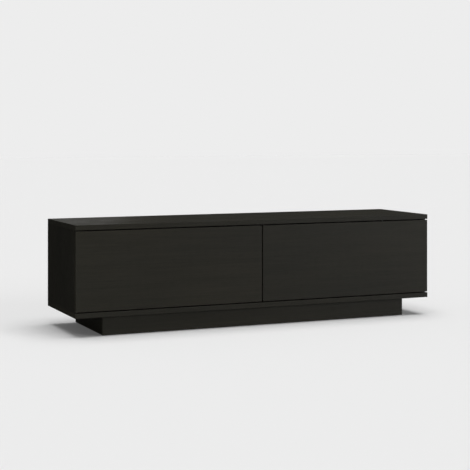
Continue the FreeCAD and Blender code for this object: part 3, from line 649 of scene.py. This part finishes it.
crossRecess = {"coneSides": 12, "coneWidth": 0.55, "coneDepth": 1.3, "coneDrop": -1.2}


class Shaper(Tree):
    # the geometry nodes that the trees below share
    def turned(self, sides, rings, length, radiusAt, crowding=1.5):
        # a closed bar down from z = 0, its radius a rule of the depth and of the angle
        # a crowding above 1 sets the rings closer at the head
        half = self.math("DIVIDE", length, 2)
        bar = self.add("GeometryNodeMeshCylinder", "Mesh",
                       {"Vertices": sides, "Side Segments": rings, "Radius": 1.0, "Depth": length})
        x, y, z = self.parts(self.add("GeometryNodeInputPosition", 0))
        share = self.math("DIVIDE", self.math("SUBTRACT", half, z), length, clamp=True)
        depth = self.math("MULTIPLY", self.math("POWER", share, crowding), length)
        angle = self.math("ARCTAN2", y, x)
        radius = radiusAt(depth, angle)
        place = self.vector(self.math("MULTIPLY", x, radius), self.math("MULTIPLY", y, radius),
                            self.math("MULTIPLY", depth, -1))
        return self.add("GeometryNodeSetPosition", 0, {"Geometry": bar, "Position": place})

    def thread(self, depth, angle, pitch, height):
        # a triangular ridge that winds once round in each pitch
        wound = self.math("SUBTRACT", self.math("DIVIDE", depth, pitch), self.math("DIVIDE", angle, math.tau))
        return self.math("MULTIPLY", self.math("PINGPONG", wound, 0.5), self.math("MULTIPLY", height, 2))

    def crossCut(self, solid, reach, width, depth):
        # cuts a cross recess into the face at z = 0, deeper in the middle
        twice = self.math("MULTIPLY", depth, 2)
        across = self.math("MULTIPLY", reach, 2)
        bars = [self.add("GeometryNodeMeshCube", "Mesh", {"Size": self.vector(across, width, twice)}),
                self.add("GeometryNodeMeshCube", "Mesh", {"Size": self.vector(width, across, twice)})]
        cone = self.add("GeometryNodeMeshCone", "Mesh", {
            "Vertices": crossRecess["coneSides"],
            "Radius Top": self.math("MULTIPLY", reach, crossRecess["coneWidth"]),
            "Radius Bottom": 0.0,
            "Depth": self.math("MULTIPLY", depth, crossRecess["coneDepth"]),
        })
        drop = self.math("MULTIPLY", depth, crossRecess["coneDrop"])
        return self.cut(solid, [*bars, self.shifted(cone, self.vector(0, 0, drop))])

    def shifted(self, solid, by):
        return self.add("GeometryNodeTransform", 0, {"Geometry": solid, "Translation": by})

    def cut(self, solid, tools):
        cutter = self.add("GeometryNodeMeshBoolean", operation="DIFFERENCE", solver="EXACT")
        self.put(cutter.inputs["Mesh 1"], solid)
        for tool in tools:
            self.tree.links.new(tool, cutter.inputs["Mesh 2"])
        return cutter.outputs["Mesh"]

    def shaded(self, solid, angle=0.6):
        # smooth, with the sharp edges kept
        smooth = self.add("GeometryNodeSetShadeSmooth", 0, {"Geometry": solid, "Shade Smooth": True},
                          domain="FACE")
        bend = self.add("GeometryNodeInputMeshEdgeAngle", "Unsigned Angle")
        soft = self.add("FunctionNodeCompare", "Result", {"A": bend, "B": angle}, operation="LESS_THAN")
        return self.add("GeometryNodeSetShadeSmooth", 0, {"Geometry": smooth, "Shade Smooth": soft},
                        domain="EDGE")

    def read(self, name):
        return self.add("GeometryNodeInputNamedAttribute", "Attribute", {"Name": name},
                        data_type="FLOAT_VECTOR")

    def set(self, places, piece, spin=None):
        # the piece on each place, its +Z turned to "way" and its +X to "lean", or spun at random from a seed
        turn = self.add("FunctionNodeAlignRotationToVector", 0, {"Vector": self.read("way")}, axis="Z")
        if spin is None:
            turn = self.add("FunctionNodeAlignRotationToVector", 0,
                            {"Rotation": turn, "Vector": self.read("lean")}, axis="X", pivot_axis="Z")
        copies = self.add("GeometryNodeInstanceOnPoints", 0,
                          {"Points": places, "Instance": piece, "Rotation": turn})
        if spin is not None:
            chance = self.add("FunctionNodeRandomValue", data_type="FLOAT")
            chance.inputs[3].default_value = math.tau       # the float sockets: lowest, highest, and the seed
            self.put(chance.inputs["Seed"], spin)
            around = self.vector(0, 0, chance.outputs[1])
            copies = self.add("GeometryNodeRotateInstances", 0,
                              {"Instances": copies, "Rotation": around, "Local Space": True})
        return copies

    def finish(self, result, made, finish):
        real = self.add("GeometryNodeRealizeInstances", 0, {"Geometry": made})
        finished = self.add("GeometryNodeSetMaterial", 0, {"Geometry": real, "Material": finish})
        self.put(result["Geometry"], finished)


def newShaper(name, sizes):
    # an input for each size, whole numbers as counts
    inputs = [("Geometry", "NodeSocketGeometry", None)]
    for key, value in sizes.items():
        inputs.append((key, "NodeSocketInt" if isinstance(value, int) else "NodeSocketFloat", value))
    inputs.append(("Finish", "NodeSocketMaterial", None))
    outputs = [("Geometry", "NodeSocketGeometry")]
    group, tree, given, result = newGroup(name, "GeometryNodeTree", inputs, outputs)
    return group, Shaper(group), given, result


def grow(name, shaper, settings, finish, places, body, stands):
    # runs a tree on its places, and leaves one plain mesh that rides on a body
    seed = bpy.data.meshes.new(name)
    seed.from_pydata(places["spots"], [], places.get("faces", []))
    for key in ("way", "lean"):
        if key in places:
            values = seed.attributes.new(key, "FLOAT_VECTOR", "POINT")
            values.data.foreach_set("vector", [c for vector in places[key] for c in vector])
    if "ball" in places:
        seed.attributes.new("ball", "BOOLEAN", "POINT").data.foreach_set("value", places["ball"])
    piece = bpy.data.objects.new(name, seed)
    bpy.context.collection.objects.link(piece)
    modifier = piece.modifiers.new("shape", "NODES")
    modifier.node_group = shaper
    for socket in shaper.interface.items_tree:
        if socket.in_out == "INPUT" and socket.name in settings:
            modifier[socket.identifier] = settings[socket.name]
        if socket.in_out == "INPUT" and socket.name == "Finish":
            modifier[socket.identifier] = finish
    ready = piece.evaluated_get(bpy.context.evaluated_depsgraph_get())
    made = bpy.data.meshes.new_from_object(ready)
    piece.modifiers.remove(modifier)
    piece.data = made
    made.name = name
    for key in ("way", "lean", "ball"):
        if key in made.attributes:
            made.attributes.remove(made.attributes[key])
    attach(piece, body)
    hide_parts(stands)
    print(f"  {name}: {len(places['spots'])} places, {len(made.polygons)} faces")
    return piece


# Wood screws, each kind with its own head

woodScrew = {
    "Length": 0.013,
    "Head Radius": 0.0032,
    "Head Height": 0.0016,
    "Crown Radius": 0.003,
    "Crown Drop": 0.0002,
    "Under Slope": 1.0,
    "Shank Radius": 0.0016,
    "Thread Height": 0.0004,
    "Pitch": 0.0014,
    "Recess Reach": 0.0018,
    "Recess Width": 0.0009,
    "Recess Depth": 0.0012,
    "Sides": 20,
    "Rings": 48,
    "Seed": 3,
}
screwPoint = {"taper": 0.6, "tip": 0.0002}


def makeScrewShaper():
    group, tree, given, result = newShaper("woodScrew", woodScrew)

    def radiusAt(depth, angle):
        sunk = tree.math("POWER", tree.math("DIVIDE", depth, given["Crown Drop"], clamp=True), 0.5)
        flare = tree.math("SUBTRACT", given["Head Radius"], given["Crown Radius"])
        head = tree.math("ADD", given["Crown Radius"], tree.math("MULTIPLY", flare, sunk))
        below = tree.math("MAXIMUM", tree.math("SUBTRACT", given["Head Height"], depth), 0.0)
        under = tree.math("ADD", given["Shank Radius"], tree.math("MULTIPLY", below, given["Under Slope"]))
        core = tree.math("SUBTRACT", given["Shank Radius"], given["Thread Height"])
        ridge = tree.math("ADD", core, tree.thread(depth, angle, given["Pitch"], given["Thread Height"]))
        inHead = tree.math("GREATER_THAN", below, 0.0)
        left = tree.math("SUBTRACT", given["Length"], depth)
        point = tree.math("ADD", tree.math("MULTIPLY", left, screwPoint["taper"]), screwPoint["tip"])
        shank = tree.math("MINIMUM", ridge, point)
        headPart = tree.math("MINIMUM", head, under)
        return tree.add("ShaderNodeMix", 0, {0: inHead, 2: shank, 3: headPart})

    screw = tree.turned(given["Sides"], given["Rings"], given["Length"], radiusAt)
    screw = tree.crossCut(screw, given["Recess Reach"], given["Recess Width"], given["Recess Depth"])
    copies = tree.set(given["Geometry"], tree.shaded(screw), spin=given["Seed"])
    tree.finish(result, copies, given["Finish"])
    return group


smallScrew = {"Length": 0.013, "Head Radius": 0.0032, "Head Height": 0.0016, "Crown Radius": 0.0031,
              "Crown Drop": 0.0001, "Under Slope": 1.0, "Shank Radius": 0.0016, "Pitch": 0.0014,
              "Recess Reach": 0.0018}
panScrew = {
    **smallScrew,
    "Length": 0.0286,
    "Head Radius": 0.004,
    "Head Height": 0.0026,
    "Crown Radius": 0.0024,
    "Crown Drop": 0.0017,
    "Under Slope": 40.0,
    "Shank Radius": 0.002,
    "Pitch": 0.0018,
    "Recess Reach": 0.0019,
    "Rings": 70,
}
boxScrew = {
    **smallScrew,
    "Length": 0.045,
    "Head Radius": 0.0048,
    "Head Height": 0.0024,
    "Crown Radius": 0.0047,
    "Under Slope": 0.96,
    "Shank Radius": 0.0025,
    "Pitch": 0.0024,
    "Thread Height": 0.0006,
    "Recess Reach": 0.0027,
    "Rings": 80,
}
blockScrew = {
    **boxScrew,
    "Length": 0.068,
    "Head Radius": 0.0045,
    "Head Height": 0.0026,
    "Crown Radius": 0.0044,
    "Under Slope": 0.77,
    "Recess Reach": 0.0025,
    "Rings": 110,
}

screwShaper = makeScrewShaper()
screwSets = [
    ("slide_and_latch_screws", smallScrew, "cabinet"),
    ("plinth_screws", blockScrew, "cabinet"),
]
for side in ("left", "right"):
    screwSets.append((f"{side}_drawer_rail_screws", smallScrew, f"{side}_drawer"))
    screwSets.append((f"{side}_drawer_front_screws", panScrew, f"{side}_drawer"))
    screwSets.append((f"{side}_drawer_box_screws", boxScrew, f"{side}_drawer"))
for number, (node, settings, body) in enumerate(screwSets):
    spots, ways = screwPlaces(node)
    grow(f"{node}_cut", screwShaper, {**settings, "Seed": number}, zincFinish, {"spots": spots, "way": ways},
         body, node)
print("screws driven")


# Cams that draw the carcass together

camFitting = {"Radius": 0.0074, "Height": 0.0129, "Rim": 0.0004, "Dish": 0.0003, "Recess Reach": 0.0045,
              "Recess Width": 0.0013, "Recess Depth": 0.0022, "Arrow Size": 0.0012}
camBody = {
    "sides": 56,
    "rings": 40,
    "waistStart": (0.0028, 0.0034),     # depths between which the waist draws in, and comes out again
    "waistEnd": (0.0098, 0.0104),
    "waistDepth": 0.0009,
    "arrowPlace": 0.78,                 # share of the radius
}


def makeCamShaper():
    group, tree, given, result = newShaper("camFitting", camFitting)

    def radiusAt(depth, angle):
        # a rounded rim, and a cast waist below it
        rim = tree.math("MAXIMUM", tree.math("SUBTRACT", given["Rim"], depth), 0.0)
        drawnIn = tree.ramp(depth, *camBody["waistStart"], 0.0, camBody["waistDepth"])
        backOut = tree.ramp(depth, *camBody["waistEnd"], 0.0, camBody["waistDepth"])
        trimmed = tree.math("SUBTRACT", given["Radius"], tree.math("SUBTRACT", drawnIn, backOut))
        return tree.math("SUBTRACT", trimmed, rim)

    cam = tree.turned(camBody["sides"], camBody["rings"], given["Height"], radiusAt)
    cam = tree.crossCut(cam, given["Recess Reach"], given["Recess Width"], given["Recess Depth"])
    sunk = tree.math("MULTIPLY", given["Dish"], 2)
    arrow = tree.add("GeometryNodeMeshCylinder", "Mesh",
                     {"Vertices": 3, "Radius": given["Arrow Size"], "Depth": sunk})
    out = tree.math("MULTIPLY", given["Radius"], camBody["arrowPlace"])
    cam = tree.cut(cam, [tree.shifted(arrow, tree.vector(out, 0, 0))])
    tree.finish(result, tree.set(given["Geometry"], tree.shaded(cam)), given["Finish"])
    return group


spots, ways, leans = camPlaces("cam_housings")
grow("cam_housings_cast", makeCamShaper(), camFitting, castFinish,
     {"spots": spots, "way": ways, "lean": leans}, "cabinet", "cam_housings")
print("cams set")


# Ball cages of the slides

bearingBalls = {"Ball Radius": 0.0016, "Ball Segments": 20, "Ball Rings": 12}


def makeCageShaper():
    group, tree, given, result = newShaper("ballCage", bearingBalls)
    isBall = tree.add("GeometryNodeInputNamedAttribute", "Attribute", {"Name": "ball"}, data_type="BOOLEAN")
    split = tree.add("GeometryNodeSeparateGeometry", None,
                     {"Geometry": given["Geometry"], "Selection": isBall}, domain="POINT")
    ball = tree.add("GeometryNodeMeshUVSphere", "Mesh", {"Segments": given["Ball Segments"],
                                                          "Rings": given["Ball Rings"],
                                                          "Radius": given["Ball Radius"]})
    balls = tree.add("GeometryNodeInstanceOnPoints", 0, {"Points": split.outputs["Selection"],
                                                         "Instance": tree.shaded(ball)})
    joined = tree.add("GeometryNodeJoinGeometry")
    tree.put(joined.inputs[0], tree.shaded(split.outputs["Inverted"], angle=0.5))
    tree.put(joined.inputs[0], balls)
    tree.finish(result, joined.outputs[0], given["Finish"])
    return group


def cagePlaces(node):
    # the pressed strips as they are, and a single point in the middle of each ball
    spots, faces, balls = [], [], []
    for solid in solidsOf(node):
        if max(solid["high"] - solid["low"]) < placeFinding["ballLimit"] * bearingBalls["Ball Radius"]:
            spots.append((solid["low"] + solid["high"]) / 2)
            balls.append(True)
            continue
        first = len(spots)
        spots += solid["corners"]
        balls += [False] * len(solid["corners"])
        faces += [tuple(first + corner for corner in face) for face in solid["faces"]]
    return {"spots": spots, "faces": faces, "ball": balls}


cageShaper = makeCageShaper()
for side in ("left", "right"):
    for row in ("outer", "inner"):
        node = f"{side}_bay_{row}_ball_cages"
        grow(f"{side}_{row}_cages_with_balls", cageShaper, bearingBalls, zincFinish, cagePlaces(node),
             f"{side}_{row}_cages", node)
print("balls caged")


# Latch springs, which shorten as a drawer is pressed in

latchSpring = {"Wire": 0.0007, "Coil Radius": 0.0029, "Turns": 11.0, "Dead Share": 0.1}


def makeSpringShaper():
    group, tree, given, result = newShaper("latchSpring", {"Length": 0.042, **latchSpring})
    coil = tree.add("GeometryNodeCurveSpiral", "Curve",
                    {"Resolution": 20, "Rotations": given["Turns"], "Start Radius": given["Coil Radius"],
                     "End Radius": given["Coil Radius"], "Height": given["Length"]})
    x, y, z = tree.parts(tree.add("GeometryNodeInputPosition", 0))
    share = tree.math("DIVIDE", z, given["Length"])
    # the first and last turns lie wire on wire, and the rest are open
    closed = tree.math("MULTIPLY", given["Wire"], given["Turns"])
    lastOpen = tree.math("SUBTRACT", 1.0, given["Dead Share"])
    opening = tree.ramp(share, given["Dead Share"], lastOpen, smooth=False)
    spare = tree.math("SUBTRACT", tree.math("SUBTRACT", given["Length"], given["Wire"]), closed)
    rise = tree.math("ADD", tree.math("MULTIPLY", share, closed), tree.math("MULTIPLY", opening, spare))
    lifted = tree.math("ADD", rise, tree.math("DIVIDE", given["Wire"], 2))
    coil = tree.add("GeometryNodeSetPosition", 0, {"Geometry": coil, "Position": tree.vector(x, y, lifted)})
    section = tree.add("GeometryNodeCurvePrimitiveCircle", "Curve",
                       {"Resolution": 8, "Radius": tree.math("DIVIDE", given["Wire"], 2)})
    wire = tree.add("GeometryNodeCurveToMesh", "Mesh",
                    {"Curve": coil, "Profile Curve": section, "Fill Caps": True})
    tree.finish(result, tree.set(given["Geometry"], tree.shaded(wire, angle=0.9)), given["Finish"])
    return group


springShaper = makeSpringShaper()
for side in ("left", "right"):
    node = f"{side}_latch_springs"
    solids = solidsOf(node)
    length = solids[0]["high"].y - solids[0]["low"].y
    spots = []
    for solid in solids:
        middle = (solid["low"] + solid["high"]) / 2
        spots.append(Vector((middle.x, solid["high"].y, middle.z)))
    piece = grow(f"{node}_coiled", springShaper, {**latchSpring, "Length": length}, springFinish,
                 {"spots": spots, "way": [(0, -1, 0)] * len(spots), "lean": [(1, 0, 0)] * len(spots)},
                 "cabinet", node)
    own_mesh(piece)
print("springs coiled")


# Levelling feet, with a gripped rim and a threaded spindle

levellingFoot = {"Disc Radius": 0.017, "Disc Height": 0.005, "Hub Radius": 0.0079, "Hub Height": 0.009,
                 "Spindle Radius": 0.00395, "Pitch": 0.002, "Thread Height": 0.0007, "Ribs": 24.0,
                 "Rib Depth": 0.0007, "Edge": 0.0009}
footBody = {"sides": 96, "rings": 120, "ribContrast": (-0.2, 0.5)}


def makeFootShaper():
    group, tree, given, result = newShaper("levellingFoot", {"Length": 0.055, **levellingFoot})

    def radiusAt(depth, angle):
        # the depth runs up from the floor, because the foot is set with its sole as its face
        edge = tree.math("MAXIMUM", tree.math("SUBTRACT", given["Edge"], depth), 0.0)
        fromTop = tree.math("SUBTRACT", given["Disc Height"], depth)
        topEdge = tree.math("MAXIMUM", tree.math("SUBTRACT", given["Edge"], fromTop), 0.0)
        wave = tree.math("COSINE", tree.math("MULTIPLY", angle, given["Ribs"]))
        groove = tree.math("MULTIPLY", tree.ramp(wave, *footBody["ribContrast"]), given["Rib Depth"])
        trimmed = tree.math("ADD", groove, tree.math("ADD", edge, topEdge))
        disc = tree.math("SUBTRACT", given["Disc Radius"], trimmed)
        core = tree.math("SUBTRACT", given["Spindle Radius"], given["Thread Height"])
        spindle = tree.math("ADD", core, tree.thread(depth, angle, given["Pitch"], given["Thread Height"]))
        overHub = tree.math("GREATER_THAN", depth, given["Hub Height"])
        overDisc = tree.math("GREATER_THAN", depth, given["Disc Height"])
        upper = tree.add("ShaderNodeMix", 0, {0: overHub, 2: given["Hub Radius"], 3: spindle})
        return tree.add("ShaderNodeMix", 0, {0: overDisc, 2: disc, 3: upper})

    foot = tree.turned(footBody["sides"], footBody["rings"], given["Length"], radiusAt)
    tree.finish(result, tree.set(given["Geometry"], tree.shaded(foot)), given["Finish"])
    return group


footShaper = makeFootShaper()
for foot in ("front_left_foot", "front_right_foot", "back_left_foot", "back_right_foot"):
    low, high = [Vector(corner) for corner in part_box(foot)]
    sole = Vector(((low.x + high.x) / 2, (low.y + high.y) / 2, low.z))
    grow(f"{foot}_moulded", footShaper, {**levellingFoot, "Length": high.z - low.z}, blackMoulding,
         {"spots": [sole], "way": [(0, 0, -1)], "lean": [(1, 0, 0)]}, foot, foot)
print("feet set")


# Floor, light and camera

studio = {
    "paper": 0.8472,         # what the camera sees of the backdrop
    "floorColour": 0.725,
    "floorBounce": 0.19,     # how much of its light the floor gives back to the furniture
    "paintedFloorGlow": 0.10,       # a glow painted into the paper, seen by the camera only, which lifts the shadows
    "skirtLight": 0.08,      # the dome's light at the horizon and overhead
    "crownLight": 0.25,
    "glare": 0.15,           # share of the dome's and the floor's light that polished surfaces mirror
    "floorSize": 60.0,
}


def makeFloor():
    half = studio["floorSize"] / 2
    mesh = bpy.data.meshes.new("floor")
    corners = [(-half, -half, 0), (half, -half, 0), (half, half, 0), (-half, half, 0)]
    mesh.from_pydata([(x, y, cadLow.z + z) for x, y, z in corners], [], [(0, 1, 2, 3)])
    floor = bpy.data.objects.new("floor", mesh)
    bpy.context.collection.objects.link(floor)
    material, tree, shader = newMaterial("paperFloor")
    shader.inputs["Specular IOR Level"].default_value = 0.0
    shader.inputs["Roughness"].default_value = 1.0
    rays = tree.add("ShaderNodeLightPath").outputs
    bounce, paper = studio["floorBounce"], studio["floorColour"]
    returned = tree.ramp(rays["Is Glossy Ray"], 0, 1, bounce, bounce * studio["glare"], smooth=False)
    tree.put(shader.inputs["Base Color"], tree.blend(rays["Is Camera Ray"], returned, grey(paper)))
    # painted light: the paper glows for camera rays only, which lightens the floor and the shadows on it
    paintedGlow = grey(paper * studio["paintedFloorGlow"])
    tree.put(shader.inputs["Emission Color"], tree.blend(rays["Is Camera Ray"], grey(0), paintedGlow))
    shader.inputs["Emission Strength"].default_value = 1.0
    mesh.materials.append(material)


def makeWorld():
    world = bpy.data.worlds.new("studio")
    bpy.context.scene.world = world
    world.use_nodes = True
    tree = Tree(world.node_tree)
    background = world.node_tree.nodes["Background"]
    rays = tree.add("ShaderNodeLightPath").outputs
    height = tree.parts(tree.add("ShaderNodeTexCoord", "Generated"))[2]
    dome = tree.ramp(height, 0, 1, studio["skirtLight"], studio["crownLight"], smooth=False)
    mirrored = tree.ramp(rays["Is Glossy Ray"], 0, 1, 1, studio["glare"], smooth=False)
    light = tree.math("MULTIPLY", dome, mirrored)
    paper = grey(studio["paper"])
    tree.put(background.inputs["Color"], tree.blend(rays["Is Camera Ray"], light, paper))


lamps = {
    # name: direction that the light comes from, strength, width in degrees
    "overheadLamp": ((0.08, -0.03, 1.0), 2.48, 50),
    "frontLamp": ((0.80, -0.65, 0.03), 2.75, 40),
}

fillPanels = {
    # name: place, point that it faces, power, size; they light the furniture and not the floor
    "leftPanel": ((-1.35, -0.75, 0.12), (-0.75, -0.15, 0.2), 1.9, 0.4),
    "backPanel": ((-0.10, 2.6, 0.75), (-0.3, 0.1, 0.35), 1.3, 0.9),
}


def makePanels(pieces):
    lit = bpy.data.collections.new("litByPanels")
    for piece in pieces:
        lit.objects.link(piece)
    for name, (place, target, power, size) in fillPanels.items():
        lamp = bpy.data.lights.new(name, "AREA")
        lamp.energy = power
        lamp.size = size
        holder = bpy.data.objects.new(name, lamp)
        holder.location = place
        holder.rotation_euler = (Vector(place) - Vector(target)).to_track_quat("Z", "Y").to_euler()
        holder.light_linking.receiver_collection = lit
        holder.visible_camera = False
        bpy.context.collection.objects.link(holder)


def makeLamps():
    for name, (source, strength, width) in lamps.items():
        lamp = bpy.data.lights.new(name, "SUN")
        lamp.energy = strength
        lamp.angle = math.radians(width)
        holder = bpy.data.objects.new(name, lamp)
        holder.rotation_euler = Vector(source).to_track_quat("Z", "Y").to_euler()
        bpy.context.collection.objects.link(holder)


view = {
    "place": (-2.0357, -4.5691, 0.7609),
    "turn": -23.669,         # degrees to the right of straight ahead
    "lens": 94.67,
    "sensorWidth": 36,
    "drop": -0.2214,         # the lens is level, and its frame is shifted down to the furniture
}


def makeCamera():
    camera = bpy.data.cameras.new("camera")
    camera.lens = view["lens"]
    camera.sensor_width = view["sensorWidth"]
    camera.shift_y = view["drop"]
    holder = bpy.data.objects.new("camera", camera)
    holder.location = view["place"]
    holder.rotation_euler = (math.radians(90), 0, math.radians(view["turn"]))
    bpy.context.collection.objects.link(holder)
    bpy.context.scene.camera = holder


makePanels([thing for thing in bpy.data.objects if thing.type == "MESH"])
makeFloor()
makeWorld()
makeLamps()
makeCamera()
bpy.context.scene.view_settings.view_transform = "Standard"
print("studio ready")
